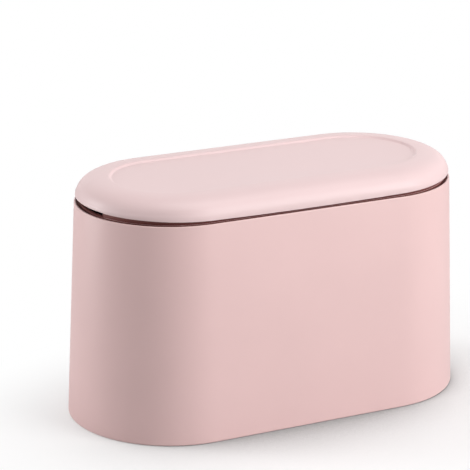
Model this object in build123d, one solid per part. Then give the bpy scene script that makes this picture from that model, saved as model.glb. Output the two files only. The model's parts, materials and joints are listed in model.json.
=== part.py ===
from build123d import *
import os
from math import acos, atan2, cos, degrees, pi, radians, sin, sqrt, tan

# Tabletop trash can with a press-to-open lid.
# The plan of every large piece is a stadium: two half circles joined by straight sides.
# X runs along the length, the front is at -Y and the hinge at +Y, and Z is up.
# The origin is the middle of the footprint, on the surface that the can stands on.

# Body shell and the base plate that closes it from below
BASE_LENGTH = 230.0
BASE_WIDTH = 114.0
BODY_HEIGHT = 121.0
BODY_TAPER = 4.8             # how far each side leans in from the base to the top
BODY_WALL = 2.2
BODY_FOOT_ROUND = 1.0
BODY_RIM_ROUND = 0.8
RIM_FLANGE_REACH = 5.2       # the flange at the top that carries the bag ring
RIM_FLANGE_THICK = 2.2
BASE_RAISE = 2.6             # the base plate hangs clear of the surface
BASE_THICK = 2.4
BASE_RIM_TOP = 14.0
BASE_RIM_WALL = 1.8
BASE_CLEARANCE = 0.15
BASE_RIB_COUNT = 5
BASE_RIB_THICK = 1.6
BASE_RIB_DEPTH = 1.6
BASE_RIB_PITCH = 34.0
SNAP_HEIGHT = 9.0            # middle of the snap groove and of the snap beads
SNAP_HALF = 1.2
SNAP_DEPTH = 0.9
SNAP_CLEARANCE = 0.15
SNAP_LENGTH = 14.0
SNAP_PITCH = 44.0

# Bag ring: the deck inside the rim, which holds a bag's edge down
RING_STEP_IN = 3.2           # the ring's edge sits this far inside the body's edge
RING_THICK = 2.6
RING_EDGE_ROUND = 0.8
SKIRT_CLEARANCE = 0.4        # room for the bag between the skirt and the flange
SKIRT_WALL = 1.8
SKIRT_DEPTH = 15.0
DECK_FRONT = 9.5             # the deck's widths, from the ring's edge to the mouth
DECK_REAR = 21.5
DECK_END = 17.0
MOUTH_LIP_DEPTH = 5.6
MOUTH_LIP_WALL = 1.6
MOUTH_ROUND = 1.0
NOTCH_WIDTH = 30.0
NOTCH_REACH = 7.8            # finger notches, in from the ring's edge at each end
NOTCH_ROUND = 3.0

# Lid: a pillow-shaped shell with a sunken middle panel
LID_GAP = 1.1
LID_ARCH = 2.0               # the lid's lower edge is this much higher at the two ends
LID_STEP_IN = 0.6            # the lid's edge against the body's edge
LID_HEIGHT = 12.3
LID_WALL = 2.0
LID_SHOULDER = 17.6
SHOULDER_FULLNESS = 0.7      # 0.55 is an ellipse, more is squarer
PANEL_MARGIN = 20.2          # from the lid's edge to the foot of the panel's step
PANEL_STEP_WIDTH = 2.2
PANEL_DROP = 1.2
REAR_RELIEF_TOP = 5.5        # the lid's rear edge, above the body's edge
REAR_RELIEF_LENGTH = 160.0
REAR_RELIEF_ROUND = 2.6

# Hinge: two sets of knuckles, each with a pin and a torsion spring
HINGE_SPACING = 84.0
PIVOT_FROM_EDGE = 3.2        # in from the lid's rear edge
PIVOT_ABOVE_DECK = 3.8
KNUCKLE_RADIUS = 3.0
KNUCKLE_LENGTH = 3.5
EAR_LENGTH = 3.5
COIL_ROOM = 5.4
KNUCKLE_GAP = 0.3
KNUCKLE_CLEARANCE = 0.5      # between a knuckle and the lid's cut-out round it
POST_FRONT = 4.4             # the knuckle's foot reaches this far in front of the pin
PIN_RADIUS = 1.25
PIN_HEAD_RADIUS = 1.9
PIN_HEAD_LENGTH = 0.8
PIN_END = 0.6                # the pin's plain end stands this far out of its knuckle
PIN_RUNNING = 0.05
PIN_SEAT = 0.02
COIL_RADIUS = 2.2            # to the middle of the wire
COIL_WIRE = 0.4              # radius of the wire
COIL_PITCH = 0.95
COIL_TURNS = 3
LEG_REACH = 18.0
LEG_REST = 0.1               # a leg's end lies this far off the deck or the lid

# Push latch at the front, and the striker on the lid
LATCH_FROM_EDGE = 10.4       # the latch's middle, in from the ring's front edge
TONGUE_WIDTH = 27.0          # the deck reaches into the mouth round the latch
TONGUE_REACH = 8.0
TONGUE_ROUND = 4.0
CASE_LENGTH = 15.6
CASE_WIDTH = 9.4
CASE_WALL = 1.3
CASE_DEPTH = 20.0
CASE_FLANGE = 1.5
CASE_FLANGE_THICK = 1.0
CASE_CLEARANCE = 0.1
SLIDER_CLEARANCE = 0.3
SLIDER_DEPTH = 12.2
LATCH_TRAVEL = 3.2
JAW_PIVOT_X = 3.7
JAW_PIVOT_DEPTH = 2.1        # below the deck's top
JAW_TOP = 5.2                # above its pin
JAW_THICK = 2.6
JAW_DEPTH = 4.2
JAW_BOSS = 1.7
JAW_PIN_RADIUS = 0.75
JAW_PIN_RUNNING = 0.05
STRIKER_THICK = 3.6
STRIKER_WIDTH = 3.4
STRIKER_NECK = 2.4
STRIKER_HEAD = 2.6
STRIKER_CLEARANCE = 0.25
STRIKER_PLATE_LENGTH = 16.0
STRIKER_PLATE_WIDTH = 4.8
STRIKER_PLATE_THICK = 0.8
STRIKER_BOSS = 0.7           # the lid's inside is this much thicker over the striker
PUSH_COIL_RADIUS = 2.0
PUSH_COIL_WIRE = 0.3
PUSH_COIL_TURNS = 4
PUSH_COIL_CLEARANCE = 0.05
CAM_GROOVE_WIDTH = 1.1
CAM_GROOVE_SPACING = 2.8
CAM_GROOVE_DEPTH = 1.0
CAM_WIRE = 0.35

# Worked out from the sizes above
END_X = (BASE_LENGTH - BASE_WIDTH) / 2
BASE_RADIUS = BASE_WIDTH / 2
RIM_RADIUS = BASE_RADIUS - BODY_TAPER
FLANGE_RADIUS = RIM_RADIUS - RIM_FLANGE_REACH
RING_RADIUS = RIM_RADIUS - RING_STEP_IN
SKIRT_RADIUS = FLANGE_RADIUS - SKIRT_CLEARANCE
DECK_TOP = BODY_HEIGHT + RING_THICK
LID_RADIUS = RIM_RADIUS - LID_STEP_IN
LID_EDGE = BODY_HEIGHT + LID_GAP
LID_TOP = LID_EDGE + LID_HEIGHT
PANEL_RADIUS = LID_RADIUS - PANEL_MARGIN
PIVOT_Y = LID_RADIUS - PIVOT_FROM_EDGE
PIVOT_Z = DECK_TOP + PIVOT_ABOVE_DECK
LATCH_Y = -(RING_RADIUS - LATCH_FROM_EDGE)
STRIKER_SEAT = LID_TOP - LID_WALL - STRIKER_BOSS
MOUTH_RADIUS = RING_RADIUS - (DECK_FRONT + DECK_REAR) / 2
MOUTH_FORWARD = (DECK_REAR - DECK_FRONT) / 2
MOUTH_END_X = END_X + RING_RADIUS - DECK_END - MOUTH_RADIUS
SLIDER_LENGTH = CASE_LENGTH - 2 * (CASE_WALL + SLIDER_CLEARANCE)
SLIDER_WIDTH = CASE_WIDTH - 2 * (CASE_WALL + SLIDER_CLEARANCE)
JAW_PIVOT_Z = DECK_TOP - JAW_PIVOT_DEPTH
CASE_FLOOR = DECK_TOP - CASE_DEPTH + CASE_WALL
SLIDER_FOOT = DECK_TOP - SLIDER_DEPTH

# Where each hinge's parts start and end along X, from the hinge's own middle
KNUCKLE_A = (-10.0, -10.0 + KNUCKLE_LENGTH)
COIL_SPAN = (KNUCKLE_A[1] + KNUCKLE_GAP, KNUCKLE_A[1] + KNUCKLE_GAP + COIL_ROOM)
EAR = (COIL_SPAN[1] + KNUCKLE_GAP, COIL_SPAN[1] + KNUCKLE_GAP + EAR_LENGTH)
KNUCKLE_B = (EAR[1] + KNUCKLE_GAP, EAR[1] + KNUCKLE_GAP + KNUCKLE_LENGTH)


def outer_radius(z):
    """Radius of the body's outer wall at a height."""
    return BASE_RADIUS - BODY_TAPER * z / BODY_HEIGHT


def inner_radius(z):
    """Radius of the body's inner wall at a height."""
    return outer_radius(z) - BODY_WALL


def rounded_outline(corners):
    """Face inside a closed outline of (x, y, corner radius)."""
    edges, starts, ends = [], [], []
    count = len(corners)
    for i, (x, y, r) in enumerate(corners):
        here = Vector(x, y)
        before = Vector(*corners[i - 1][:2]) - here
        after = Vector(*corners[(i + 1) % count][:2]) - here
        if r <= 0:
            starts.append(here)
            ends.append(here)
            continue
        half = radians(before.get_angle(after)) / 2
        run = r / tan(half)
        first = here + before.normalized() * run
        last = here + after.normalized() * run
        middle_way = (before.normalized() + after.normalized()).normalized()
        middle = here + middle_way * (r / sin(half) - r)
        edges.append(ThreePointArc(first, middle, last))
        starts.append(first)
        ends.append(last)
    for i in range(count):
        if (starts[(i + 1) % count] - ends[i]).length > 1e-6:
            edges.append(Line(ends[i], starts[(i + 1) % count]))
    return make_face(edges)


def section_plane(end_x):
    """Plane at the start of an end's half turn: its x is the radius and its y the height."""
    return Plane(origin=(end_x, 0, 0), x_dir=(0, -1, 0), z_dir=(-1, 0, 0))


def round_stadium(section, end_x=END_X):
    """Carries a section of (radius, height) once round the stadium."""
    placed = section_plane(end_x) * section
    end = revolve(placed, Axis((end_x, 0, 0), (0, 0, 1)), 180)
    side = extrude(placed, 2 * end_x, (-1, 0, 0))
    whole = end + end.mirror(Plane.YZ) + side + side.mirror(Plane.XZ)
    return whole.clean()


def stadium_prism(end_x, radius, low, high, y=0.0):
    """Upright stadium block between two heights."""
    plan = SlotOverall(2 * (end_x + radius), 2 * radius)
    return extrude(Pos(0, y, low) * plan, high - low)


def block(x_span, y_span, z_span):
    """Box between pairs of coordinates."""
    size = [b - a for a, b in (x_span, y_span, z_span)]
    middle = [(a + b) / 2 for a, b in (x_span, y_span, z_span)]
    return Pos(*middle) * Box(*size)


def rod_x(radius, x_span, y=PIVOT_Y, z=PIVOT_Z):
    """Cylinder along X."""
    length = x_span[1] - x_span[0]
    middle = (x_span[0] + x_span[1]) / 2
    return Pos(middle, y, z) * Rot(0, 90, 0) * Cylinder(radius, length)


def wire_ball(point, radius):
    """Round end of a wire, a hair fuller than the wire itself."""
    return Pos(*point) * Sphere(radius * 1.04)


def rod_between(start, end, radius):
    """Round wire from one point to another, with round ends."""
    start, end = Vector(*start), Vector(*end)
    way = end - start
    plane = Plane(origin=start, z_dir=way)
    wire = extrude(plane * Circle(radius), way.length)
    return wire + wire_ball(start, radius) + wire_ball(end, radius)


def make_body_shell():
    """Outer shell: leaning wall, a flange at the top and a snap groove inside the foot."""
    under_flange = BODY_HEIGHT - RIM_FLANGE_THICK
    section = rounded_outline([
        (outer_radius(0), 0, BODY_FOOT_ROUND),
        (RIM_RADIUS, BODY_HEIGHT, BODY_RIM_ROUND),
        (FLANGE_RADIUS, BODY_HEIGHT, BODY_RIM_ROUND / 2),
        (FLANGE_RADIUS, under_flange, 0),
        (inner_radius(under_flange), under_flange, 1.2),
        (inner_radius(SNAP_HEIGHT + SNAP_HALF), SNAP_HEIGHT + SNAP_HALF, 0),
        (inner_radius(SNAP_HEIGHT) + SNAP_DEPTH, SNAP_HEIGHT, 0),
        (inner_radius(SNAP_HEIGHT - SNAP_HALF), SNAP_HEIGHT - SNAP_HALF, 0),
        (inner_radius(0), 0, 0.4),
    ])
    return round_stadium(section)


def snap_bead_section():
    """Section of one snap bead, which sits in the body's snap groove."""
    root = inner_radius(SNAP_HEIGHT) - BASE_CLEARANCE - BASE_RIM_WALL / 2
    tip = inner_radius(SNAP_HEIGHT) + SNAP_DEPTH - SNAP_CLEARANCE
    half = SNAP_HALF - SNAP_CLEARANCE
    foot = inner_radius(SNAP_HEIGHT) - BASE_CLEARANCE
    return rounded_outline([
        (root, SNAP_HEIGHT - half, 0),
        (foot, SNAP_HEIGHT - half, 0),
        (tip, SNAP_HEIGHT, 0),
        (foot, SNAP_HEIGHT + half, 0),
        (root, SNAP_HEIGHT + half, 0),
    ])


def make_base_plate():
    """Plate that closes the body from below: floor, upturned rim, ribs and snap beads."""
    floor_top = BASE_RAISE + BASE_THICK
    section = rounded_outline([
        (0, BASE_RAISE, 0),
        (inner_radius(BASE_RAISE) - BASE_CLEARANCE, BASE_RAISE, 0),
        (inner_radius(BASE_RIM_TOP) - BASE_CLEARANCE, BASE_RIM_TOP, 0.4),
        (inner_radius(BASE_RIM_TOP) - BASE_CLEARANCE - BASE_RIM_WALL, BASE_RIM_TOP, 0.4),
        (inner_radius(floor_top) - BASE_CLEARANCE - BASE_RIM_WALL, floor_top, 2.0),
        (0, floor_top, 0),
    ])
    plate = round_stadium(section)
    bead = section_plane(0) * snap_bead_section()
    for i in (-1, 0, 1):
        straight = extrude(bead, SNAP_LENGTH, (-1, 0, 0))
        straight = Pos(i * SNAP_PITCH + SNAP_LENGTH / 2, 0, 0) * straight
        plate = plate + straight + straight.mirror(Plane.XZ)
    turn = degrees(SNAP_LENGTH / inner_radius(SNAP_HEIGHT))
    end_bead = revolve(Rot(0, 0, 90 - turn / 2) * bead, Axis.Z, turn)
    end_bead = Pos(END_X, 0, 0) * end_bead
    plate = plate + end_bead + end_bead.mirror(Plane.YZ)
    rib_span = (BASE_RAISE - BASE_RIB_DEPTH, BASE_RAISE)
    rib_reach = BASE_RADIUS - BODY_WALL - 4.0
    for i in range(BASE_RIB_COUNT):
        x = (i - (BASE_RIB_COUNT - 1) / 2) * BASE_RIB_PITCH
        half_x, half_y = BASE_RIB_THICK / 2, rib_reach
        if abs(x) > END_X:
            half_y = sqrt(rib_reach**2 - (abs(x) - END_X) ** 2)
        plate = plate + block((x - half_x, x + half_x), (-half_y, half_y), rib_span)
    spine = (-END_X - rib_reach, END_X + rib_reach)
    return plate + block(spine, (-BASE_RIB_THICK / 2, BASE_RIB_THICK / 2), rib_span)


def mouth_cutter(radius, low, high):
    """Space of the ring's mouth, less the tongue that carries the latch."""
    space = stadium_prism(MOUTH_END_X, radius, low, high, -MOUTH_FORWARD)
    margin = MOUTH_RADIUS - radius
    half = TONGUE_WIDTH / 2 + margin
    front = -MOUTH_FORWARD - MOUTH_RADIUS
    tongue = rounded_outline([
        (-half - TONGUE_ROUND, front - 4, 0),
        (half + TONGUE_ROUND, front - 4, 0),
        (half, front + TONGUE_REACH + margin, TONGUE_ROUND),
        (-half, front + TONGUE_REACH + margin, TONGUE_ROUND),
    ])
    return space - extrude(Pos(0, 0, low) * tongue, high - low)


def knuckle(x_span):
    """One of the ring's hinge knuckles with its foot on the deck."""
    foot = block(x_span, (PIVOT_Y - POST_FRONT, RING_RADIUS), (BODY_HEIGHT, DECK_TOP + 0.6))
    neck = block(x_span, (PIVOT_Y - KNUCKLE_RADIUS, RING_RADIUS), (BODY_HEIGHT, PIVOT_Z))
    return foot + neck + rod_x(KNUCKLE_RADIUS, x_span)


def make_bag_ring():
    """Deck with its skirt, mouth, finger notches, latch pocket and hinge knuckles."""
    deck = round_stadium(rounded_outline([
        (0, BODY_HEIGHT, 0),
        (RING_RADIUS, BODY_HEIGHT, 0),
        (RING_RADIUS, DECK_TOP, RING_EDGE_ROUND),
        (0, DECK_TOP, 0),
    ]))
    skirt = round_stadium(rounded_outline([
        (SKIRT_RADIUS - SKIRT_WALL, BODY_HEIGHT - SKIRT_DEPTH, 0.5),
        (SKIRT_RADIUS, BODY_HEIGHT - SKIRT_DEPTH, 0.5),
        (SKIRT_RADIUS, BODY_HEIGHT + 1, 0),
        (SKIRT_RADIUS - SKIRT_WALL, BODY_HEIGHT + 1, 0),
    ]))
    lip_foot = DECK_TOP - MOUTH_LIP_DEPTH
    lip = mouth_cutter(MOUTH_RADIUS + MOUTH_LIP_WALL, lip_foot, BODY_HEIGHT + 0.5)
    ring = deck + lip
    ring = ring - mouth_cutter(MOUTH_RADIUS, lip_foot - 1, DECK_TOP + 1)
    top_edges = ring.edges().filter_by_position(Axis.Z, DECK_TOP, DECK_TOP, (True, True))
    inside = [e for e in top_edges if abs(e.center().X) < END_X + MOUTH_RADIUS + 4
              and abs(e.center().Y) < MOUTH_RADIUS + MOUTH_FORWARD + 2]
    ring = fillet(inside, MOUTH_ROUND)
    ring = ring + skirt
    notch_face = rounded_outline([
        (END_X + RING_RADIUS - NOTCH_REACH, -NOTCH_WIDTH / 2, NOTCH_ROUND),
        (END_X + RING_RADIUS + 5, -NOTCH_WIDTH / 2, 0),
        (END_X + RING_RADIUS + 5, NOTCH_WIDTH / 2, 0),
        (END_X + RING_RADIUS - NOTCH_REACH, NOTCH_WIDTH / 2, NOTCH_ROUND),
    ])
    notch = extrude(Pos(0, 0, BODY_HEIGHT - SKIRT_DEPTH - 1) * notch_face, SKIRT_DEPTH + 8)
    ring = ring - notch - notch.mirror(Plane.YZ)
    half_x = CASE_LENGTH / 2 + CASE_CLEARANCE
    half_y = CASE_WIDTH / 2 + CASE_CLEARANCE
    pocket = block((-half_x, half_x), (LATCH_Y - half_y, LATCH_Y + half_y),
                   (lip_foot - 2, DECK_TOP + 1))
    ring = ring - pocket
    for x in (-HINGE_SPACING / 2, HINGE_SPACING / 2):
        for span in (KNUCKLE_A, KNUCKLE_B):
            ring = ring + knuckle((x + span[0], x + span[1]))
        bore = rod_x(PIN_RADIUS + PIN_SEAT, (x + KNUCKLE_A[0] - 1, x + KNUCKLE_B[1] + 1))
        ring = ring - bore
    return ring.clean()


def lid_section():
    """Section of the lid's shell: pillow shoulder, then the step down to the panel."""
    k = SHOULDER_FULLNESS
    outer_end = LID_RADIUS - LID_SHOULDER
    inner_edge = LID_RADIUS - LID_WALL
    inner_top = LID_TOP - LID_WALL
    step_top = PANEL_RADIUS + PANEL_STEP_WIDTH
    half_step = PANEL_STEP_WIDTH / 2
    low_edge = LID_EDGE - 0.5
    height = LID_TOP - low_edge
    inner_height = inner_top - low_edge
    inner_reach = inner_edge - outer_end
    outer = [
        Bezier((LID_RADIUS, low_edge), (LID_RADIUS, low_edge + k * height),
               (outer_end + (1 - k) * LID_SHOULDER, LID_TOP), (outer_end, LID_TOP)),
        Line((outer_end, LID_TOP), (step_top, LID_TOP)),
        Bezier((step_top, LID_TOP), (step_top - half_step, LID_TOP),
               (PANEL_RADIUS + half_step, LID_TOP - PANEL_DROP),
               (PANEL_RADIUS, LID_TOP - PANEL_DROP)),
        Line((PANEL_RADIUS, LID_TOP - PANEL_DROP), (0, LID_TOP - PANEL_DROP)),
    ]
    inner = [
        Line((0, LID_TOP - PANEL_DROP), (0, inner_top - PANEL_DROP)),
        Line((0, inner_top - PANEL_DROP), (PANEL_RADIUS, inner_top - PANEL_DROP)),
        Bezier((PANEL_RADIUS, inner_top - PANEL_DROP),
               (PANEL_RADIUS + half_step, inner_top - PANEL_DROP),
               (step_top - half_step, inner_top), (step_top, inner_top)),
        Bezier((step_top, inner_top), (step_top + 0.1, inner_top),
               (outer_end - 0.1, inner_top), (outer_end, inner_top)),
        Bezier((outer_end, inner_top), (outer_end + k * inner_reach, inner_top),
               (inner_edge, low_edge + k * inner_height), (inner_edge, low_edge)),
        Line((inner_edge, low_edge), (LID_RADIUS, low_edge)),
    ]
    return make_face(outer + inner)


def lid_core(low):
    """Block that fills the lid from a height up to half-way into its wall."""
    half_wall = LID_WALL / 2
    edge = LID_RADIUS - half_wall
    top = LID_TOP - PANEL_DROP - half_wall
    end = LID_RADIUS - LID_SHOULDER
    k = SHOULDER_FULLNESS
    rise = LID_TOP - half_wall - LID_EDGE
    side = Bezier((edge, LID_EDGE), (edge, LID_EDGE + k * rise),
                  (edge - k * (edge - end), LID_TOP - half_wall), (end, LID_TOP - half_wall))
    section = make_face([
        side,
        Polyline((end, LID_TOP - half_wall), (PANEL_RADIUS + PANEL_STEP_WIDTH, LID_TOP - half_wall),
                 (PANEL_RADIUS, top), (0, top), (0, LID_EDGE), (edge, LID_EDGE)),
    ])
    far = END_X + LID_RADIUS + 1
    return round_stadium(section) & block((-far, far), (-far, far), (low, LID_TOP + 1))


def lid_edge_height(x):
    """Height of the lid's lower edge, which arches up towards the ends."""
    return LID_EDGE + LID_ARCH * (x / (END_X + LID_RADIUS)) ** 2


def make_lid_shell():
    """Lid shell with its arched edge, rear relief, knuckle cut-outs and hinge ears."""
    lid = round_stadium(lid_section())
    far = END_X + LID_RADIUS + 10
    keep = make_face([
        ThreePointArc((-far, lid_edge_height(far)), (0, LID_EDGE), (far, lid_edge_height(far))),
        Line((far, lid_edge_height(far)), (far, LID_TOP + 5)),
        Line((far, LID_TOP + 5), (-far, LID_TOP + 5)),
        Line((-far, LID_TOP + 5), (-far, lid_edge_height(far))),
    ])
    half_depth = LID_RADIUS + 5
    keep = extrude(Plane.XZ * keep, half_depth, both=True)
    lid = lid & keep
    relief_top = BODY_HEIGHT + REAR_RELIEF_TOP
    half = REAR_RELIEF_LENGTH / 2
    relief = rounded_outline([
        (-half, BODY_HEIGHT - 2, 0),
        (half, BODY_HEIGHT - 2, 0),
        (half, relief_top, REAR_RELIEF_ROUND),
        (-half, relief_top, REAR_RELIEF_ROUND),
    ])
    relief = extrude(Pos(0, LID_RADIUS + 5, 0) * (Plane.XZ * relief), 17)
    lid = lid - relief
    core = lid_core(LID_EDGE)
    boss_plan = RectangleRounded(STRIKER_PLATE_LENGTH + 2, STRIKER_PLATE_WIDTH + 2, 2.0)
    boss = extrude(Pos(0, LATCH_Y, STRIKER_SEAT) * boss_plan, STRIKER_BOSS + LID_WALL)
    lid = lid + (boss & core)
    for x in (-HINGE_SPACING / 2, HINGE_SPACING / 2):
        ear_span = (x + EAR[0], x + EAR[1])
        web = block(ear_span, (PIVOT_Y - 6.5, PIVOT_Y + 1.5), (PIVOT_Z, LID_TOP))
        lid = lid + (web & core)
        head_room = KNUCKLE_A[0] - PIN_HEAD_LENGTH
        for span in ((head_room, COIL_SPAN[1]), (KNUCKLE_B[0], KNUCKLE_B[1] + PIN_END)):
            room = (x + span[0] - KNUCKLE_GAP, x + span[1] + KNUCKLE_GAP)
            lid = lid - rod_x(KNUCKLE_RADIUS + KNUCKLE_CLEARANCE, room)
        groove_top = PIVOT_Z + COIL_RADIUS + COIL_WIRE + KNUCKLE_CLEARANCE
        groove = block((x + COIL_SPAN[0], x + COIL_SPAN[1]), (PIVOT_Y - 6, PIVOT_Y),
                       (PIVOT_Z, groove_top))
        lid = lid - groove + rod_x(KNUCKLE_RADIUS, ear_span)
        lid = lid - rod_x(PIN_RADIUS + PIN_RUNNING, (ear_span[0] - 1, ear_span[1] + 1))
    return lid.clean()


def make_hinge_pin(x):
    """Hinge pin with a head at its left end."""
    shank = rod_x(PIN_RADIUS, (x + KNUCKLE_A[0], x + KNUCKLE_B[1] + PIN_END))
    head = rod_x(PIN_HEAD_RADIUS, (x + KNUCKLE_A[0] - PIN_HEAD_LENGTH, x + KNUCKLE_A[0]))
    return shank + head


def tangent_angle(y, z, above):
    """Angle on the coil's circle where a straight leg from a point leaves it."""
    dy, dz = y - PIVOT_Y, z - PIVOT_Z
    toward = atan2(dz, dy)
    spread = acos(COIL_RADIUS / sqrt(dy * dy + dz * dz))
    return toward - spread if above else toward + spread


def coil(x_start, turns, start_angle):
    """Turns of wire round the hinge pin, running along +X from an angle about X."""
    helix = Helix(COIL_PITCH, COIL_PITCH * turns, COIL_RADIUS, direction=(1, 0, 0))
    start = helix @ 0
    aim = degrees(start_angle - atan2(start.Z, start.Y))
    path = Pos(x_start, PIVOT_Y, PIVOT_Z) * Rot(aim, 0, 0) * helix
    start_plane = Plane(origin=path @ 0, z_dir=path % 0)
    wire = sweep(start_plane * Circle(COIL_WIRE), path)
    return wire, path @ 0, path @ 1


def make_spring_coil(x):
    """Coils of the torsion spring and its leg on the deck."""
    leg_y, leg_z = PIVOT_Y - LEG_REACH, DECK_TOP + COIL_WIRE + LEG_REST
    angle = tangent_angle(leg_y, leg_z, False)
    x_start = x + COIL_SPAN[0] + COIL_WIRE + 0.1
    wire, start, end = coil(x_start, COIL_TURNS, angle)
    leg = rod_between(start, (start.X, leg_y, leg_z), COIL_WIRE)
    return wire + leg + wire_ball(end, COIL_WIRE)


def make_spring_leg(x):
    """Last turn of the torsion spring and its leg under the lid, which turn with the lid."""
    leg_y = PIVOT_Y - LEG_REACH
    leg_z = LID_TOP - PANEL_DROP - LID_WALL - COIL_WIRE - LEG_REST
    angle = tangent_angle(leg_y, leg_z, True)
    x_start = x + COIL_SPAN[0] + COIL_WIRE + 0.1 + COIL_PITCH * COIL_TURNS + 0.95
    wire, start, end = coil(x_start, 0.8, angle - 2 * pi * 0.8)
    leg = rod_between(end, (end.X, leg_y, leg_z), COIL_WIRE)
    return wire + leg + wire_ball(start, COIL_WIRE)


def make_latch_case():
    """Box of the push latch, hung from the deck by its flange."""
    half_x, half_y = CASE_LENGTH / 2, CASE_WIDTH / 2
    foot = DECK_TOP - CASE_DEPTH
    case = block((-half_x, half_x), (-half_y, half_y), (foot, DECK_TOP + CASE_FLANGE_THICK))
    flange_plan = RectangleRounded(CASE_LENGTH + 2 * CASE_FLANGE, CASE_WIDTH + 2 * CASE_FLANGE, 2)
    case = case + extrude(Pos(0, 0, DECK_TOP) * flange_plan, CASE_FLANGE_THICK)
    inner_x, inner_y = half_x - CASE_WALL, half_y - CASE_WALL
    hollow = block((-inner_x, inner_x), (-inner_y, inner_y), (CASE_FLOOR, DECK_TOP + 3))
    case = case - hollow
    hook = block((half_x - 0.5, half_x + 0.9), (-2, 2), (BODY_HEIGHT - 3.4, BODY_HEIGHT - 0.2))
    hook = chamfer(hook.edges().filter_by(Axis.Y).group_by(Axis.Z)[0].sort_by(Axis.X)[-1:], 1.2)
    case = case + hook + hook.mirror(Plane.YZ)
    return Pos(0, LATCH_Y, 0) * case


def make_latch_slider():
    """Slider that rises with the jaws: a block with a jaw slot and a cam track."""
    half_x, half_y = SLIDER_LENGTH / 2, SLIDER_WIDTH / 2
    slider = block((-half_x, half_x), (-half_y, half_y), (SLIDER_FOOT, DECK_TOP))
    slot_half = JAW_DEPTH / 2 + 0.15
    slot_floor = JAW_PIVOT_Z - JAW_BOSS - 2.0
    slot = block((-half_x - 1, half_x + 1), (-slot_half, slot_half), (slot_floor, DECK_TOP + 1))
    slider = slider - slot
    for side in (-1, 1):
        hole = Pos(side * JAW_PIVOT_X, 0, JAW_PIVOT_Z) * Rot(90, 0, 0) * Cylinder(
            JAW_PIN_RADIUS + PIN_SEAT, SLIDER_WIDTH + 2)
        slider = slider - hole
    track_low, track_high = SLIDER_FOOT, SLIDER_FOOT + LATCH_TRAVEL + 2.6
    track = block((-CAM_GROOVE_SPACING / 2 - CAM_GROOVE_WIDTH / 2,
                   CAM_GROOVE_SPACING / 2 + CAM_GROOVE_WIDTH / 2),
                  (half_y - CAM_GROOVE_DEPTH, half_y + 1), (track_low - 1, track_high))
    island_half = (CAM_GROOVE_SPACING - CAM_GROOVE_WIDTH) / 2
    island = block((-island_half, island_half), (half_y - CAM_GROOVE_DEPTH, half_y),
                   (track_low + 1.2, track_high - CAM_GROOVE_WIDTH))
    slider = slider - track + island
    socket = Pos(0, 0, SLIDER_FOOT) * Cylinder(
        PUSH_COIL_RADIUS - 2.5 * PUSH_COIL_WIRE, 1.6, align=(Align.CENTER, Align.CENTER, Align.MAX))
    return Pos(0, LATCH_Y, 0) * (slider + socket)


def make_latch_jaw(side):
    """One jaw: boss on its pin, an upright arm and a hooked nose."""
    inner = STRIKER_WIDTH / 2 + STRIKER_CLEARANCE
    x_in, x_out = inner, inner + JAW_THICK
    top = JAW_PIVOT_Z + JAW_TOP
    arm = rounded_outline([
        (x_in + 0.9, JAW_PIVOT_Z, 0),
        (x_out, JAW_PIVOT_Z, 0),
        (x_out, top - 0.6, 0.9),
        (x_in + 0.9, top, 0.5),
        (x_in, top - 1.1, 0.3),
        (x_in, top - 2.1, 0.3),
        (x_in + 0.9, top - 2.9, 0),
    ])
    jaw = extrude(Plane.XZ * arm, JAW_DEPTH / 2, both=True)
    boss = Pos(JAW_PIVOT_X, 0, JAW_PIVOT_Z) * Rot(90, 0, 0) * Cylinder(JAW_BOSS, JAW_DEPTH)
    bore = Pos(JAW_PIVOT_X, 0, JAW_PIVOT_Z) * Rot(90, 0, 0) * Cylinder(
        JAW_PIN_RADIUS + JAW_PIN_RUNNING, JAW_DEPTH + 2)
    jaw = jaw + boss - bore
    if side < 0:
        jaw = jaw.mirror(Plane.YZ)
    return Pos(0, LATCH_Y, 0) * jaw


def make_jaw_pins():
    """The two pins that the jaws turn on, pressed into the slider."""
    pins = [Pos(side * JAW_PIVOT_X, LATCH_Y, JAW_PIVOT_Z) * Rot(90, 0, 0)
            * Cylinder(JAW_PIN_RADIUS, SLIDER_WIDTH - 0.2) for side in (-1, 1)]
    return Compound(children=pins)


def make_push_spring():
    """Compression spring between the case's floor and the slider."""
    low = CASE_FLOOR + PUSH_COIL_WIRE + PUSH_COIL_CLEARANCE
    high = SLIDER_FOOT - PUSH_COIL_WIRE - PUSH_COIL_CLEARANCE
    path = Pos(0, LATCH_Y, low) * Helix((high - low) / PUSH_COIL_TURNS, high - low, PUSH_COIL_RADIUS)
    return sweep(Plane(origin=path @ 0, z_dir=path % 0) * Circle(PUSH_COIL_WIRE), path)


def make_cam_pin():
    """Wire link that follows the slider's cam track and locks it down."""
    y = LATCH_Y + SLIDER_WIDTH / 2 - CAM_WIRE - 0.25
    x = CAM_GROOVE_SPACING / 2
    foot_y = y + 0.1
    foot = (x, foot_y, CASE_FLOOR + CAM_WIRE + 0.05)
    tip = (x, y, SLIDER_FOOT + LATCH_TRAVEL + 1.4)
    return rod_between(foot, tip, CAM_WIRE)


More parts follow.
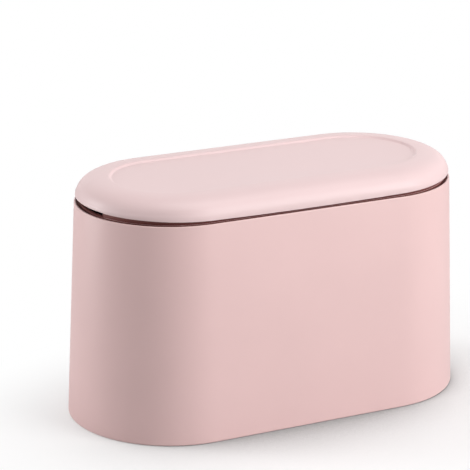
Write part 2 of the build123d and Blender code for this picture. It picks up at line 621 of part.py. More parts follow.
def make_striker():
    """Striker under the lid's front: a plate, a neck and an arrow head."""
    plate_top = STRIKER_SEAT
    plate_foot = plate_top - STRIKER_PLATE_THICK
    plate_plan = RectangleRounded(STRIKER_PLATE_LENGTH, STRIKER_PLATE_WIDTH, 2.0)
    plate = extrude(Pos(0, 0, plate_foot) * plate_plan, STRIKER_PLATE_THICK)
    neck_half, head_half = STRIKER_NECK / 2, STRIKER_WIDTH / 2
    head_foot = JAW_PIVOT_Z + 0.6
    outline = rounded_outline([
        (-neck_half, plate_top - 0.4, 0),
        (-neck_half, head_foot + STRIKER_HEAD, 0),
        (-head_half, head_foot + STRIKER_HEAD - 0.7, 0),
        (-neck_half * 0.6, head_foot, 0.3),
        (neck_half * 0.6, head_foot, 0.3),
        (head_half, head_foot + STRIKER_HEAD - 0.7, 0),
        (neck_half, head_foot + STRIKER_HEAD, 0),
        (neck_half, plate_top - 0.4, 0),
    ])
    blade = extrude(Plane.XZ * outline, STRIKER_THICK / 2, both=True)
    return Pos(0, LATCH_Y, 0) * (plate + blade)


def main():
    os.makedirs("parts", exist_ok=True)
    left, right = -HINGE_SPACING / 2, HINGE_SPACING / 2
    parts = {
        "body_shell": make_body_shell(),
        "base_plate": make_base_plate(),
        "bag_ring": make_bag_ring(),
        "lid_shell": make_lid_shell(),
        "hinge_pin_left": make_hinge_pin(left),
        "hinge_pin_right": make_hinge_pin(right),
        "hinge_spring_left": make_spring_coil(left),
        "hinge_spring_right": make_spring_coil(right),
        "hinge_spring_leg_left": make_spring_leg(left),
        "hinge_spring_leg_right": make_spring_leg(right),
        "lid_striker": make_striker(),
        "latch_case": make_latch_case(),
        "latch_slider": make_latch_slider(),
        "latch_jaw_left": make_latch_jaw(-1),
        "latch_jaw_right": make_latch_jaw(1),
        "latch_jaw_pins": make_jaw_pins(),
        "latch_spring": make_push_spring(),
        "latch_cam_pin": make_cam_pin(),
    }
    for name, shape in parts.items():
        export_step(shape, f"parts/{name}.step")


main()
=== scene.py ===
import json
import math

import bmesh
import bpy
from bpy.props import FloatProperty, FloatVectorProperty, IntProperty, PointerProperty
from mathutils import Matrix, Vector
from mathutils.geometry import interpolate_bezier


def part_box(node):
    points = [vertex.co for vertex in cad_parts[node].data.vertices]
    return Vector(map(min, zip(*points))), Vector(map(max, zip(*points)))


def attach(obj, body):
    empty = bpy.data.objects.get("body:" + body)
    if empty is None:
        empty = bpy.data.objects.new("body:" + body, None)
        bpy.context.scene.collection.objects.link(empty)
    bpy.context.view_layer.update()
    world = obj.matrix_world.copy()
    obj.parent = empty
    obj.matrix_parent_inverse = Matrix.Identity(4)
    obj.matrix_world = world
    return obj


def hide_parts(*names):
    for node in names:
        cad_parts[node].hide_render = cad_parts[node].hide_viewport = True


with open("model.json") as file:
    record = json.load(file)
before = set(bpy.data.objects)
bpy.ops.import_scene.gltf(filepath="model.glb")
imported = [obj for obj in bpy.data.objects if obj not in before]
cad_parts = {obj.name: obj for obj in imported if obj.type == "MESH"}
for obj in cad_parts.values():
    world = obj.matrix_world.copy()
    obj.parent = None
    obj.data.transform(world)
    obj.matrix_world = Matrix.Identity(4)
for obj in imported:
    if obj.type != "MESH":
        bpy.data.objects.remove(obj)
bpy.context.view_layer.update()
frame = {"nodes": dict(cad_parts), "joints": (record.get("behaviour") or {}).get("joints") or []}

bl_info = {
    "name": "Tabletop Trash Can",
    "version": (1, 0, 0),
    "blender": (4, 5, 0),
    "location": "3D View > Sidebar > Trash Can",
    "description": "Dresses the solids of a small press-to-open trash can and lights them",
    "category": "Object",
}

NODES = frame["nodes"]
BODY_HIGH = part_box("body_shell")[1]
LID_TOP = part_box("lid_shell")[1].z
RING_SIDE = -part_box("bag_ring")[0].y
LID_HINGE = next(joint for joint in frame["joints"] if joint["name"] == "lid_hinge")
_, HINGE_Y, HINGE_Z = LID_HINGE["pos_m"]
MM = 0.001

# Modelling
CREASE = math.radians(32)                           # edges that turn by more stay sharp
MIDDLE_CUTS = [i * 14 * MM for i in range(-4, 5)]   # where the straight middle is divided
MERGE = 1e-6

# Body's rim: its flange, and the seam's groove measured in from the rim
FLANGE_THICK = 2.2 * MM
SEAM_START, SEAM_END = 1.1 * MM, 3.0 * MM
HAIR = 0.05 * MM
NOTCH_START, NOTCH_HALF = 90 * MM, 15.2 * MM        # flange that shows under the finger notches, which takes the seam's painted shade
COLLAR_EDGE, COLLAR_HEIGHT = 0.5 * MM, 2.0 * MM     # ring's edge that shows in the seam, where its outer side takes painted shade

# Lid's section
LID_CORE = 3 * MM                                   # width of the panel's flat middle strip
PANEL_SLOPE = 2.2 * MM
SHOULDER_FULLNESS = 0.7
LID_LIP = 0.5 * MM                                  # drawn this far below the edge, then lifted
ARCH_ZONE = 5 * MM                                  # height over which the lift fades out

# Lid's rear relief, its hinge ears and the knuckles' rooms, along X from each hinge's middle
RELIEF_HALF, RELIEF_DEPTH, RELIEF_BEYOND = 80 * MM, 12 * MM, 9 * MM
RELIEF_FOOT, RELIEF_RISE, RELIEF_ROUND = 110 * MM, 5.5 * MM, 2.6 * MM
HINGE_X = 42 * MM
ROOM_RADIUS, ROOM_SPANS = 3.5 * MM, ((-11.1 * MM, -0.8 * MM), (3.0 * MM, 8.2 * MM))
EAR_RADIUS, EAR_BORE, EAR_SPAN = 3 * MM, 1.3 * MM, (-0.5 * MM, 3.0 * MM)

# Surface noise as (scale, detail, roughness), and the span in which it mostly lies
CLOUD, SWELL, SPARK = (22, 3, 0.5), (90, 1, 0.5), (2600, 2, 0.6)
BLOOM, MARKS = (420, 4, 0.5), (5200, 3, 0.7)
NOISE_SPAN = (0.3, 0.7)
FINE_GRAIN, SATIN_GRAIN, TOOL_GRAIN = 0.05, 0.10, 0.2
INNER_PAINTED_SHADE = 0.97                                  # inner pieces against the shell's colour: a little darker, as painted shade

# Lamps as (name, place, width, height, watts)
LAMPS = (
    ("key_right", (0.80, -1.13, 0.68), 0.8, 0.8, 17.2),
    ("top_soft", (0.2, -0.2, 1.4), 1.0, 1.0, 10.2),
    ("back_soft", (0.75, 1.45, 0.75), 1.8, 0.9, 2.0),
    ("rim_left", (-1.2, 0.75, 0.35), 0.5, 0.7, 12.6),
)
LAMP_TARGET = (0, 0, 0.07)
AMBIENT = 0.17

# Floor: where it fades to white, its lift to the eye, and the shade before the can
FLOOR_RADIUS = 6
FLOOR_GREY, FLOOR_GLOW = 0.66, 0.24
FADE_SHIFT, FADE_SCALE, FADE_SPAN = (-0.026, 0.045, 0), (0.62, 1, 1), (0.07, 0.18)
SHADE_REACH, SHADE_FALL, SHADE_DEPTH = 0.12, 3.0, 0.68
SHADE_AHEAD, SHADE_SPAN = (0.3, -1, 0), (-0.03, 0.045)

# Camera
CAMERA_PLACE = Vector((-0.5665, -1.0707, 0.4738))
CAMERA_TARGET = Vector((-0.0101, 0.0165, 0.0892))
CAMERA_LENS, CAMERA_SENSOR, CAMERA_ROLL = 174.8, 36, math.radians(0.37)


# Sizes and colours that a user would change

class TrashCanSizes(bpy.types.PropertyGroup):
    """Sizes of the can's turned pieces"""

    end_x: FloatProperty(
        name="Straight half", description="Half of the straight middle of the plan",
        default=BODY_HIGH.x - BODY_HIGH.y, unit="LENGTH")
    base_radius: FloatProperty(
        name="Base radius", description="Radius of the rounded ends at the foot",
        default=57 * MM, unit="LENGTH")
    taper: FloatProperty(
        name="Taper", description="How far each side leans in towards the top",
        default=4.8 * MM, unit="LENGTH")
    wall: FloatProperty(
        name="Body wall", description="Thickness of the body's wall",
        default=2.2 * MM, unit="LENGTH")
    flange_reach: FloatProperty(
        name="Flange reach", description="Width of the flange round the body's top",
        default=5.2 * MM, unit="LENGTH")
    seam_depth: FloatProperty(
        name="Seam depth", description="Depth of the groove between the rim and the bag ring",
        default=1.7 * MM, unit="LENGTH")
    lid_radius: FloatProperty(
        name="Lid radius", description="Radius of the lid's rounded ends",
        default=51.6 * MM, unit="LENGTH")
    lid_edge: FloatProperty(
        name="Lid edge", description="Height of the lid's lower edge at mid length",
        default=122.35 * MM, unit="LENGTH")
    lid_arch: FloatProperty(
        name="Lid arch", description="How much higher the lower edge is at the two ends",
        default=2.15 * MM, unit="LENGTH")
    lid_wall: FloatProperty(
        name="Lid wall", description="Thickness of the lid", default=2 * MM, unit="LENGTH")
    shoulder: FloatProperty(
        name="Shoulder", description="Width of the lid's pillow-shaped shoulder",
        default=17.6 * MM, unit="LENGTH")
    panel_margin: FloatProperty(
        name="Panel margin", description="From the lid's edge to the sunken panel",
        default=20.2 * MM, unit="LENGTH")
    panel_drop: FloatProperty(
        name="Panel drop", description="Depth of the sunken panel",
        default=1.2 * MM, unit="LENGTH")
    turns: IntProperty(
        name="Turn steps", description="Steps round a full turn", default=160, min=16)


class TrashCanFinish(bpy.types.PropertyGroup):
    """Colours of the can's plastics and metal, with the lid's paler colour as painted reflection
    and the seam's colour as painted shade
    """

    shell: FloatVectorProperty(
        name="Shell", description="Colour of the moulded shell", subtype="COLOR",
        size=3, min=0, max=1, default=(0.730, 0.508, 0.498))
    # painted reflection: the lid's paler colour stands for the white it reflects
    lid: FloatVectorProperty(
        name="Lid", description="Colour of the lid, a shade paler than the shell",
        subtype="COLOR", size=3, min=0, max=1, default=(0.715, 0.540, 0.540))
    # painted shade: this dark colour stands for the shadow deep in the seam
    seam: FloatVectorProperty(
        name="Seam", description="Colour deep in the seam round the bag ring",
        subtype="COLOR", size=3, min=0, max=1, default=(0.190, 0.052, 0.045))
    latch: FloatVectorProperty(
        name="Latch", description="Colour of the latch's plastic", subtype="COLOR",
        size=3, min=0, max=1, default=(0.80, 0.80, 0.78))
    steel: FloatVectorProperty(
        name="Steel", description="Colour of the pins and springs", subtype="COLOR",
        size=3, min=0, max=1, default=(0.60, 0.60, 0.61))


# Shader nodes

def new_material(name):
    """Node material with its Principled shader."""
    material = bpy.data.materials.new(name)
    material.use_nodes = True
    return material, material.node_tree.nodes, material.node_tree.links


def add_noise(nodes, links, pattern):
    """Noise texture on the piece's own coordinates."""
    place = nodes.new("ShaderNodeTexCoord")
    noise = nodes.new("ShaderNodeTexNoise")
    for socket, value in zip(("Scale", "Detail", "Roughness"), pattern):
        noise.inputs[socket].default_value = value
    links.new(place.outputs["Object"], noise.inputs["Vector"])
    return noise.outputs["Fac"]


def add_ramp(nodes, links, source, colours):
    """Colour ramp between two colours, over the noise's span."""
    ramp = nodes.new("ShaderNodeValToRGB")
    for element, position, colour in zip(ramp.color_ramp.elements, NOISE_SPAN, colours):
        element.position = position
        element.color = (*colour, 1)
    links.new(source, ramp.inputs["Fac"])
    return ramp.outputs["Color"]


def add_range(nodes, links, source, span, result=(0, 1), kind="LINEAR"):
    """Spreads one span of a value over another."""
    spread = nodes.new("ShaderNodeMapRange")
    spread.interpolation_type = kind
    for socket, value in zip(("From Min", "From Max", "To Min", "To Max"), (*span, *result)):
        spread.inputs[socket].default_value = value
    links.new(source, spread.inputs["Value"])
    return spread.outputs["Result"]


def add_bump(nodes, links, source, strength, distance, under=None):
    """Bump from a height, on top of another bump if one is given."""
    bump = nodes.new("ShaderNodeBump")
    bump.inputs["Strength"].default_value = strength
    bump.inputs["Distance"].default_value = distance
    links.new(source, bump.inputs["Height"])
    if under is not None:
        links.new(under, bump.inputs["Normal"])
    return bump.outputs["Normal"]


def arithmetic(nodes, links, operation, *values):
    """One arithmetic node on numbers and other nodes' outputs."""
    node = nodes.new("ShaderNodeMath")
    node.operation = operation
    for socket, value in zip(node.inputs, values):
        if isinstance(value, float):
            socket.default_value = value
        else:
            links.new(value, socket)
    return node.outputs["Value"]


def mix_shaders(nodes, links, share, first, second):
    """The first shader where the share is 0, the second where it is 1."""
    mix = nodes.new("ShaderNodeMixShader")
    for socket, source in zip(mix.inputs, (share, first, second)):
        links.new(source, socket)
    return mix.outputs["Shader"]


# Materials

def scaled(colour, factor):
    """Colour made lighter or darker."""
    return tuple(min(1.0, part * factor) for part in colour)


def satin_plastic(name, colour, rough, grain):
    """Moulded plastic: slight cloudiness, a fine spark texture and uneven gloss."""
    material, nodes, links = new_material(name)
    shader = nodes["Principled BSDF"]
    cloud = add_noise(nodes, links, CLOUD)
    tint = add_ramp(nodes, links, cloud, (scaled(colour, 0.985), scaled(colour, 1.01)))
    links.new(tint, shader.inputs["Base Color"])
    gloss = add_range(nodes, links, cloud, NOISE_SPAN, (rough - 0.02, rough + 0.03))
    links.new(gloss, shader.inputs["Roughness"])
    swell = add_bump(nodes, links, add_noise(nodes, links, SWELL), 0.03, 0.4 * MM)
    spark = add_bump(nodes, links, add_noise(nodes, links, SPARK), grain, 0.03 * MM, swell)
    links.new(spark, shader.inputs["Normal"])
    shader.inputs["IOR"].default_value = 1.48
    return material


def spring_steel(name, colour, rough):
    """Drawn wire and turned pins: bright steel with fine marks and a little dull bloom."""
    material, nodes, links = new_material(name)
    shader = nodes["Principled BSDF"]
    bloom = add_noise(nodes, links, BLOOM)
    tint = add_ramp(nodes, links, bloom, (scaled(colour, 0.8), scaled(colour, 1.1)))
    links.new(tint, shader.inputs["Base Color"])
    gloss = add_range(nodes, links, bloom, NOISE_SPAN, (rough - 0.05, rough + 0.10))
    links.new(gloss, shader.inputs["Roughness"])
    marks = add_bump(nodes, links, add_noise(nodes, links, MARKS), 0.12, 0.02 * MM)
    links.new(marks, shader.inputs["Normal"])
    shader.inputs["Metallic"].default_value = 1.0
    return material


def collar_shade_mask(nodes, links, end_x, edge, top):
    """1 on the collar's outer side below its rounded top, where shade is painted, 0 elsewhere."""

    def step(operation, *values):
        """One step of the sum."""
        return arithmetic(nodes, links, operation, *values)

    place = nodes.new("ShaderNodeTexCoord")
    split = nodes.new("ShaderNodeSeparateXYZ")
    links.new(place.outputs["Object"], split.inputs["Vector"])
    x, y, z = split.outputs
    along = step("MAXIMUM", step("SUBTRACT", step("ABSOLUTE", x), end_x), 0.0)
    squares = step("ADD", step("POWER", along, 2.0), step("MULTIPLY", y, y))
    outside = step("GREATER_THAN", squares, edge * edge)
    return step("MULTIPLY", outside, step("LESS_THAN", z, top))


def set_material(obj, material):
    """Gives a piece or a CAD node one material."""
    obj.data.materials.clear()
    obj.data.materials.append(material)


def finish_named(name, maker, *values):
    """The material of that name, made once."""
    return bpy.data.materials.get(name) or maker(name, *values)


def shell_material(scene):
    """Plastic of the body."""
    return finish_named("blush_satin_plastic", satin_plastic,
                        tuple(scene.trash_can_finish.shell), 0.42, SATIN_GRAIN)


def lid_material(scene):
    """Plastic of the lid, its colour paler than the body's as painted reflection, and softer."""
    return finish_named("blush_lid_plastic", satin_plastic,
                        tuple(scene.trash_can_finish.lid), 0.46, SATIN_GRAIN)


def inner_material(scene, name="blush_inner_plastic"):
    """The body's plastic, a little darker as painted shade, with the plainer tool finish of the
    inner pieces.
    """
    return finish_named(name, satin_plastic,
                        scaled(tuple(scene.trash_can_finish.shell), INNER_PAINTED_SHADE), 0.46, TOOL_GRAIN)


def seam_shade_material(scene):
    """Painted shade: deep rose brown that darkens the groove round the bag ring."""
    return finish_named("seam_plastic", satin_plastic,
                        tuple(scene.trash_can_finish.seam), 0.7, TOOL_GRAIN)


def latch_material(scene):
    """Pale, smooth plastic of the latch."""
    return finish_named("latch_plastic", satin_plastic,
                        tuple(scene.trash_can_finish.latch), 0.30, FINE_GRAIN)


def steel_material(scene):
    """Steel of the pins and springs."""
    return finish_named("spring_steel", spring_steel, tuple(scene.trash_can_finish.steel), 0.28)


def ring_material(scene):
    """The inner plastic, with painted shade in the seam's dark colour on the collar's outer side.
    """
    material = inner_material(scene, "ring_plastic")
    nodes, links = material.node_tree.nodes, material.node_tree.links
    colour = nodes["Principled BSDF"].inputs["Base Color"]
    mix = nodes.new("ShaderNodeMix")
    mix.data_type = "RGBA"
    links.new(collar_shade_mask(nodes, links, scene.trash_can_sizes.end_x, RING_SIDE - COLLAR_EDGE,
                          BODY_HIGH.z + COLLAR_HEIGHT), mix.inputs["Factor"])
    links.new(colour.links[0].from_socket, mix.inputs["A"])
    # painted shade on the collar's outer side, in the seam's dark colour
    mix.inputs["B"].default_value = (*scene.trash_can_finish.seam, 1)
    links.new(mix.outputs["Result"], colour)
    return material


# Modelling helpers

def mesh_object(name, bm):
    """Object made of a bmesh, which is then freed."""
    mesh = bpy.data.meshes.new(name)
    bm.to_mesh(mesh)
    bm.free()
    obj = bpy.data.objects.new(name, mesh)
    bpy.context.scene.collection.objects.link(obj)
    return obj


def add_piece(name, bm, body, material):
    """Turns a bmesh into a piece that rides on a body."""
    bmesh.ops.remove_doubles(bm, verts=bm.verts, dist=MERGE)
    bmesh.ops.recalc_face_normals(bm, faces=bm.faces)
    for face in bm.faces:
        face.smooth = True
    for edge in bm.edges:
        edge.smooth = edge.calc_face_angle(0) < CREASE
    obj = mesh_object(name, bm)
    set_material(obj, material)
    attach(obj, body)
    return obj


def turned_stadium(corners, end_x, steps, closed):
    """Spins a section of (radius, height, corner round) once round a stadium plan."""
    bm = bmesh.new()
    half = math.pi / steps
    verts = [bm.verts.new((r * math.cos(half), r * math.sin(half), z)) for r, z, _ in corners]
    for pair in zip(verts, verts[1:]):
        bm.edges.new(pair)
    if closed:
        bm.edges.new((verts[-1], verts[0]))
    rounds = {}
    for vert, (_, _, amount) in zip(verts, corners):
        if amount:
            rounds.setdefault(amount, []).append(vert)
    for amount, group in rounds.items():
        bmesh.ops.bevel(bm, geom=group, offset=amount, offset_type="OFFSET", segments=5,
                        profile=0.5, affect="VERTICES", material=-1)
    bmesh.ops.spin(bm, geom=bm.verts[:] + bm.edges[:], cent=(0, 0, 0), axis=(0, 0, 1),
                   angle=2 * math.pi, steps=steps, use_merge=True)
    bmesh.ops.remove_doubles(bm, verts=bm.verts, dist=MERGE)
    for side in (-1, 1):
        group = [v for v in bm.verts if v.co.x * side > 0]
        bmesh.ops.translate(bm, verts=group, vec=(side * end_x, 0, 0))
    for x in MIDDLE_CUTS:
        bmesh.ops.bisect_plane(bm, geom=bm.verts[:] + bm.edges[:] + bm.faces[:], dist=1e-7,
                               plane_co=(x, 0, 0), plane_no=(1, 0, 0))
    return bm


def round_edges(bm, edges, offset, segments):
    """Rounds some edges of a shape."""
    bmesh.ops.bevel(bm, geom=edges, offset=offset, segments=segments, profile=0.5,
                    affect="EDGES", material=-1)


def loose_shape(bm):
    """Plain object for a boolean, which isn't a piece."""
    bmesh.ops.recalc_face_normals(bm, faces=bm.faces)
    return mesh_object("carver", bm)


def carve(obj, shapes, operation="DIFFERENCE"):
    """Cuts shapes out of a piece, or joins them to it, and keeps the result as its mesh."""
    cutters = [loose_shape(shape) for shape in shapes]
    for cutter in cutters:
        modifier = obj.modifiers.new("carve", "BOOLEAN")
        modifier.operation = operation
        modifier.solver = "EXACT"
        modifier.object = cutter
    bpy.context.view_layer.update()
    depsgraph = bpy.context.evaluated_depsgraph_get()
    result = bpy.data.meshes.new_from_object(obj.evaluated_get(depsgraph))
    obj.modifiers.clear()
    old = obj.data
    obj.data = result
    bpy.data.meshes.remove(old)
    for cutter in cutters:
        mesh = cutter.data
        bpy.data.objects.remove(cutter)
        bpy.data.meshes.remove(mesh)


def hinge_rod(bm, radius, start, end, segments=40):
    """Cylinder along the lid's hinge line."""
    place = (Matrix.Translation(((start + end) / 2, HINGE_Y, HINGE_Z))
             @ Matrix.Rotation(math.pi / 2, 4, "Y"))
    bmesh.ops.create_cone(bm, cap_ends=True, segments=segments, radius1=radius, radius2=radius,
                          depth=end - start, matrix=place)


def block(bm, low, high):
    """Box between two corners."""
    low, high = Vector(low), Vector(high)
    place = Matrix.Translation((low + high) / 2) @ Matrix.Diagonal((*(high - low), 1))
    return bmesh.ops.create_cube(bm, size=1, matrix=place)["verts"]


# Pieces

class TRASHCAN_OT_body(bpy.types.Operator):
    """Makes the leaning body wall with its rim, its flange and its rounded foot"""

    bl_idname = "trash_can.body"
    bl_label = "Body"

    def execute(self, context):
        sizes = context.scene.trash_can_sizes
        top = BODY_HIGH.z
        rim = sizes.base_radius - sizes.taper
        flange, under, groove = rim - sizes.flange_reach, top - FLANGE_THICK, top - sizes.seam_depth
        lean = sizes.taper / top
        inner = sizes.base_radius - sizes.wall
        bm = turned_stadium([
            (sizes.base_radius, 0, 1.0 * MM),
            (rim, top, 0.5 * MM),
            (rim - SEAM_START, top, 0.3 * MM),
            (rim - SEAM_START, groove, 0.2 * MM),
            (rim - SEAM_END, groove, 0.2 * MM),
            (rim - SEAM_END, top, 0.2 * MM),
            (flange, top, 0.4 * MM),
            (flange, under, 0),
            (inner - lean * under, under, 1.0 * MM),
            (inner, 0, 0.4 * MM),
        ], sizes.end_x, sizes.turns, True)
        body = add_piece("body_wall", bm, "bin", shell_material(context.scene))
        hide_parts("body_shell")
        self.shade_seam(context.scene, body, rim)
        set_material(NODES["base_plate"], inner_material(context.scene))
        return {"FINISHED"}

    def shade_seam(self, scene, body, rim):
        """Paints shade on the seam's groove and on the flange under the finger notches, in the
        seam's dark colour.
        """
        body.data.materials.append(seam_shade_material(scene))
        end_x = scene.trash_can_sizes.end_x
        for face in body.data.polygons:
            x, y, z = face.center
            inwards = rim - math.hypot(max(abs(x) - end_x, 0), y)
            if z < BODY_HIGH.z - FLANGE_THICK - 2 * HAIR or inwards < SEAM_START - HAIR:
                continue
            if inwards < SEAM_END + HAIR or (abs(x) > NOTCH_START and abs(y) < NOTCH_HALF):
                # painted shade: these faces take the seam's dark colour
                face.material_index = 1


def lid_corners(sizes):
    """Half section of the lid, from the panel's middle out over the shoulder and back inside."""
    radius, wall, drop = sizes.lid_radius, sizes.lid_wall, sizes.panel_drop
    end = radius - sizes.shoulder
    panel = radius - sizes.panel_margin
    step = panel + PANEL_SLOPE
    low = sizes.lid_edge - LID_LIP

    def shoulder(side, crown):
        """Curve from the crown's end down to the lower edge."""
        reach, rise = side - end, crown - low
        return interpolate_bezier(
            Vector((end, crown)), Vector((end + SHOULDER_FULLNESS * reach, crown)),
            Vector((side, low + SHOULDER_FULLNESS * rise)), Vector((side, low)), 30)

    def slope(crown):
        """Soft step from the panel up to the crown, without its last point."""
        middle = (panel + step) / 2
        return interpolate_bezier(
            Vector((panel, crown - drop)), Vector((middle, crown - drop)),
            Vector((middle, crown)), Vector((step, crown)), 10)[:-1]

    outer, inner = (
        [Vector((LID_CORE, crown - drop)), *slope(crown), *shoulder(side, crown)]
        for side, crown in ((radius, LID_TOP), (radius - wall, LID_TOP - wall)))
    return [(point.x, point.y, 0) for point in (*outer, *reversed(inner))]


def lift_lid_edge(bm, sizes):
    """Arches the lid's lower edge up towards its two ends."""
    reach = sizes.end_x + sizes.lid_radius
    low = sizes.lid_edge - LID_LIP
    for vert in bm.verts:
        share = (low + ARCH_ZONE - vert.co.z) / ARCH_ZONE
        if share > 0:
            lift = LID_LIP + sizes.lid_arch * (vert.co.x / reach) ** 2
            vert.co.z += lift * share


class TRASHCAN_OT_lid(bpy.types.Operator):
    """Makes the pillow-edged lid with its sunken panel, hinge ears and striker boss"""

    bl_idname = "trash_can.lid"
    bl_label = "Lid"

    def execute(self, context):
        sizes = context.scene.trash_can_sizes
        plastic = lid_material(context.scene)
        bm = turned_stadium(lid_corners(sizes), sizes.end_x, sizes.turns, False)
        lift_lid_edge(bm, sizes)
        rims = [edge for edge in bm.edges if edge.is_boundary]
        bmesh.ops.holes_fill(bm, edges=rims, sides=0)
        lid = add_piece("lid_pillow", bm, "lid", plastic)
        carve(lid, self.rear_rooms(sizes))
        lid.data.shade_smooth()
        lid.data.set_sharp_from_angle(angle=CREASE)
        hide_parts("lid_shell")
        for x, name in ((-HINGE_X, "lid_ear_left"), (HINGE_X, "lid_ear_right")):
            self.add_ear(name, x + EAR_SPAN[0], x + EAR_SPAN[1], plastic)
        self.add_boss(plastic)
        return {"FINISHED"}

    def rear_rooms(self, sizes):
        """Relief that lets the lid swing past upright, and rooms for the ring's knuckles."""
        relief = bmesh.new()
        block(relief, (-RELIEF_HALF, sizes.lid_radius - RELIEF_DEPTH, RELIEF_FOOT),
              (RELIEF_HALF, sizes.lid_radius + RELIEF_BEYOND, BODY_HIGH.z + RELIEF_RISE))
        corners = [edge for edge in relief.edges
                   if all(vert.co.z > BODY_HIGH.z for vert in edge.verts)
                   and edge.verts[0].co.x == edge.verts[1].co.x]
        round_edges(relief, corners, RELIEF_ROUND, 8)
        rooms = bmesh.new()
        for x in (-HINGE_X, HINGE_X):
            for start, end in ROOM_SPANS:
                hinge_rod(rooms, ROOM_RADIUS, x + start, x + end)
        return relief, rooms

    def add_ear(self, name, start, end, plastic):
        """Barrel under the lid that turns on a pin, with the web that holds it."""
        barrel = bmesh.new()
        hinge_rod(barrel, EAR_RADIUS, start, end, 48)
        ear = add_piece(name, barrel, "lid", plastic)
        web = bmesh.new()
        verts = block(web, (start, HINGE_Y - 6.5 * MM, HINGE_Z + 0.3 * MM),
                      (end, HINGE_Y - 0.2 * MM, LID_TOP - 3.0 * MM))
        back = [v for v in verts if v.co.y > HINGE_Y - 1 * MM and v.co.z > HINGE_Z + 2 * MM]
        bmesh.ops.translate(web, verts=back, vec=(0, -3.6 * MM, 0))
        carve(ear, [web], "UNION")
        bore = bmesh.new()
        hinge_rod(bore, EAR_BORE, start - 1 * MM, end + 1 * MM, 32)
        carve(ear, [bore])
        ear.data.set_sharp_from_angle(angle=CREASE)

    def add_boss(self, plastic):
        """Low boss that the striker's plate sits on."""
        low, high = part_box("lid_striker")
        y = low.y + 2.4 * MM
        boss = bmesh.new()
        block(boss, (-9 * MM, y - 3.2 * MM, high.z), (9 * MM, y + 3.4 * MM, high.z + 1.4 * MM))
        upright = [edge for edge in boss.edges
                   if abs(edge.verts[0].co.z - edge.verts[1].co.z) > 0.5 * MM]
        round_edges(boss, upright, 2 * MM, 6)
        add_piece("striker_boss", boss, "lid", plastic)


class TRASHCAN_OT_ring(bpy.types.Operator):
    """Finishes the bag ring that sits inside the rim, with painted shade on its collar, and the
    lid's striker
    """

    bl_idname = "trash_can.ring"
    bl_label = "Bag ring"

    def execute(self, context):
        set_material(NODES["bag_ring"], ring_material(context.scene))
        set_material(NODES["lid_striker"], inner_material(context.scene))
        return {"FINISHED"}


class TRASHCAN_OT_hinges(bpy.types.Operator):
    """Finishes the hinge pins and the torsion springs"""

    bl_idname = "trash_can.hinges"
    bl_label = "Hinges"

    def execute(self, context):
        for name in ("hinge_pin", "hinge_spring", "hinge_spring_leg"):
            for side in ("left", "right"):
                set_material(NODES[f"{name}_{side}"], steel_material(context.scene))
        return {"FINISHED"}


class TRASHCAN_OT_latch(bpy.types.Operator):
    """Finishes the push latch: case, slider, jaws, pins and spring"""

    bl_idname = "trash_can.latch"
    bl_label = "Latch"

    def execute(self, context):
        for name in ("latch_case", "latch_slider", "latch_jaw_left", "latch_jaw_right"):
            set_material(NODES[name], latch_material(context.scene))
        for name in ("latch_jaw_pins", "latch_spring", "latch_cam_pin"):
            set_material(NODES[name], steel_material(context.scene))
        return {"FINISHED"}


# Stage

def add_softbox(name, place, width, height, power):
    """Rectangular studio lamp aimed at the can."""
    lamp = bpy.data.lights.new(name, "AREA")
    lamp.shape = "RECTANGLE"
    lamp.size, lamp.size_y = width, height
    lamp.energy = power
    obj = bpy.data.objects.new(name, lamp)
    obj.location = place
    aim = Vector(LAMP_TARGET) - Vector(place)
    obj.rotation_euler = aim.to_track_quat("-Z", "Y").to_euler()
    bpy.context.scene.collection.objects.link(obj)


def contact_shade(nodes, links, place, seen):
    """Soft shade that the camera sees on the floor before the can, deepest at its foot."""
    near = nodes.new("ShaderNodeAmbientOcclusion")
    near.inputs["Distance"].default_value = SHADE_REACH
    near.samples = 16
    covered = add_range(nodes, links, near.outputs["AO"], (1, 0.5))
    ahead = nodes.new("ShaderNodeVectorMath")
    ahead.operation = "DOT_PRODUCT"
    links.new(place, ahead.inputs[0])
    ahead.inputs[1].default_value = SHADE_AHEAD
    front = add_range(nodes, links, ahead.outputs["Value"], SHADE_SPAN, kind="SMOOTHSTEP")
    shade = arithmetic(nodes, links, "POWER", covered, SHADE_FALL)
    for factor in (front, seen, SHADE_DEPTH):
        shade = arithmetic(nodes, links, "MULTIPLY", shade, factor)
    return shade


def floor_material():
    """Pale floor that keeps the shadow near the can and fades to white further out."""
    material, nodes, links = new_material("pale_floor")
    shader = nodes["Principled BSDF"]
    shader.inputs["Base Color"].default_value = (FLOOR_GREY, FLOOR_GREY, FLOOR_GREY, 1)
    shader.inputs["Roughness"].default_value = 0.85
    shader.inputs["Specular IOR Level"].default_value = 0.1
    shader.inputs["Emission Color"].default_value = (1, 1, 1, 1)
    seen = nodes.new("ShaderNodeLightPath").outputs["Is Camera Ray"]
    links.new(arithmetic(nodes, links, "MULTIPLY", seen, FLOOR_GLOW),
              shader.inputs["Emission Strength"])
    place = nodes.new("ShaderNodeTexCoord").outputs["Object"]
    shift = nodes.new("ShaderNodeMapping")
    shift.inputs["Location"].default_value = FADE_SHIFT
    shift.inputs["Scale"].default_value = FADE_SCALE
    links.new(place, shift.inputs["Vector"])
    span = nodes.new("ShaderNodeVectorMath")
    span.operation = "LENGTH"
    links.new(shift.outputs["Vector"], span.inputs[0])
    fade = add_range(nodes, links, span.outputs["Value"], FADE_SPAN, kind="SMOOTHSTEP")
    white, dark = (nodes.new("ShaderNodeEmission") for _ in range(2))
    white.inputs["Strength"].default_value = 1.0
    dark.inputs["Strength"].default_value = 0.0
    faded = mix_shaders(nodes, links, arithmetic(nodes, links, "MULTIPLY", fade, seen),
                        shader.outputs["BSDF"], white.outputs["Emission"])
    shaded = mix_shaders(nodes, links, contact_shade(nodes, links, place, seen),
                         faded, dark.outputs["Emission"])
    links.new(shaded, nodes["Material Output"].inputs["Surface"])
    return material


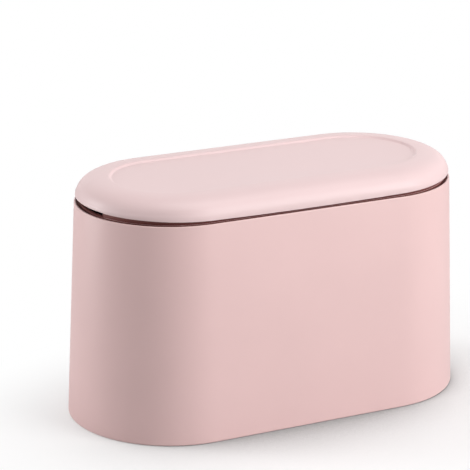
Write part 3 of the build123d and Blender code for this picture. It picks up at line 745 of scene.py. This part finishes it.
class TRASHCAN_OT_stage(bpy.types.Operator):
    """Sets the pale floor, the studio light and the camera"""

    bl_idname = "trash_can.stage"
    bl_label = "Stage"

    def execute(self, context):
        self.add_floor()
        self.add_world(context.scene)
        for lamp in LAMPS:
            add_softbox(*lamp)
        self.add_camera(context.scene)
        context.scene.view_settings.view_transform = "Standard"
        return {"FINISHED"}

    def add_floor(self):
        """Round floor under the can."""
        bm = bmesh.new()
        bmesh.ops.create_circle(bm, cap_ends=True, segments=96, radius=FLOOR_RADIUS)
        floor = mesh_object("floor", bm)
        set_material(floor, floor_material())

    def add_world(self, scene):
        """White to the camera and to reflections, softer as light."""
        world = bpy.data.worlds.new("studio")
        scene.world = world
        world.use_nodes = True
        nodes, links = world.node_tree.nodes, world.node_tree.links
        light = nodes["Background"]
        light.inputs["Color"].default_value = (1, 0.98, 0.98, 1)
        light.inputs["Strength"].default_value = AMBIENT
        white = nodes.new("ShaderNodeBackground")
        white.inputs["Color"].default_value = (1, 1, 1, 1)
        white.inputs["Strength"].default_value = 1.0
        path = nodes.new("ShaderNodeLightPath")
        shown = path.outputs["Is Camera Ray"]
        for kind in ("Is Glossy Ray", "Is Transmission Ray"):
            shown = arithmetic(nodes, links, "MAXIMUM", shown, path.outputs[kind])
        mixed = mix_shaders(nodes, links, shown, light.outputs["Background"],
                            white.outputs["Background"])
        links.new(mixed, nodes["World Output"].inputs["Surface"])

    def add_camera(self, scene):
        """Camera at the photograph's angle: from the front, left of the middle, a little above."""
        lens = bpy.data.cameras.new("camera")
        lens.lens, lens.sensor_width = CAMERA_LENS, CAMERA_SENSOR
        camera = bpy.data.objects.new("camera", lens)
        turn = (CAMERA_TARGET - CAMERA_PLACE).to_track_quat("-Z", "Y").to_matrix().to_4x4()
        camera.matrix_world = (Matrix.Translation(CAMERA_PLACE) @ turn
                               @ Matrix.Rotation(CAMERA_ROLL, 4, "Z"))
        scene.collection.objects.link(camera)
        scene.camera = camera


class TRASHCAN_PT_panel(bpy.types.Panel):
    """Lists the sizes, the colours and the pieces that can be made"""

    bl_idname = "TRASHCAN_PT_panel"
    bl_label = "Trash Can"
    bl_space_type = "VIEW_3D"
    bl_region_type = "UI"
    bl_category = "Trash Can"

    def draw(self, context):
        layout = self.layout
        for group in (context.scene.trash_can_sizes, context.scene.trash_can_finish):
            for name in group.__annotations__:
                layout.prop(group, name)
        for operator in PIECES:
            layout.operator(operator.bl_idname)


PIECES = (TRASHCAN_OT_body, TRASHCAN_OT_lid, TRASHCAN_OT_ring, TRASHCAN_OT_hinges,
          TRASHCAN_OT_latch, TRASHCAN_OT_stage)
CLASSES = (TrashCanSizes, TrashCanFinish, *PIECES, TRASHCAN_PT_panel)


def register():
    for cls in CLASSES:
        bpy.utils.register_class(cls)
    bpy.types.Scene.trash_can_sizes = PointerProperty(type=TrashCanSizes)
    bpy.types.Scene.trash_can_finish = PointerProperty(type=TrashCanFinish)


def unregister():
    del bpy.types.Scene.trash_can_finish
    del bpy.types.Scene.trash_can_sizes
    for cls in reversed(CLASSES):
        bpy.utils.unregister_class(cls)


def main():
    """Makes every piece."""
    register()
    bpy.ops.trash_can.body()
    bpy.ops.trash_can.lid()
    bpy.ops.trash_can.ring()
    bpy.ops.trash_can.hinges()
    bpy.ops.trash_can.latch()
    bpy.ops.trash_can.stage()


if __name__ == "__main__":
    main()
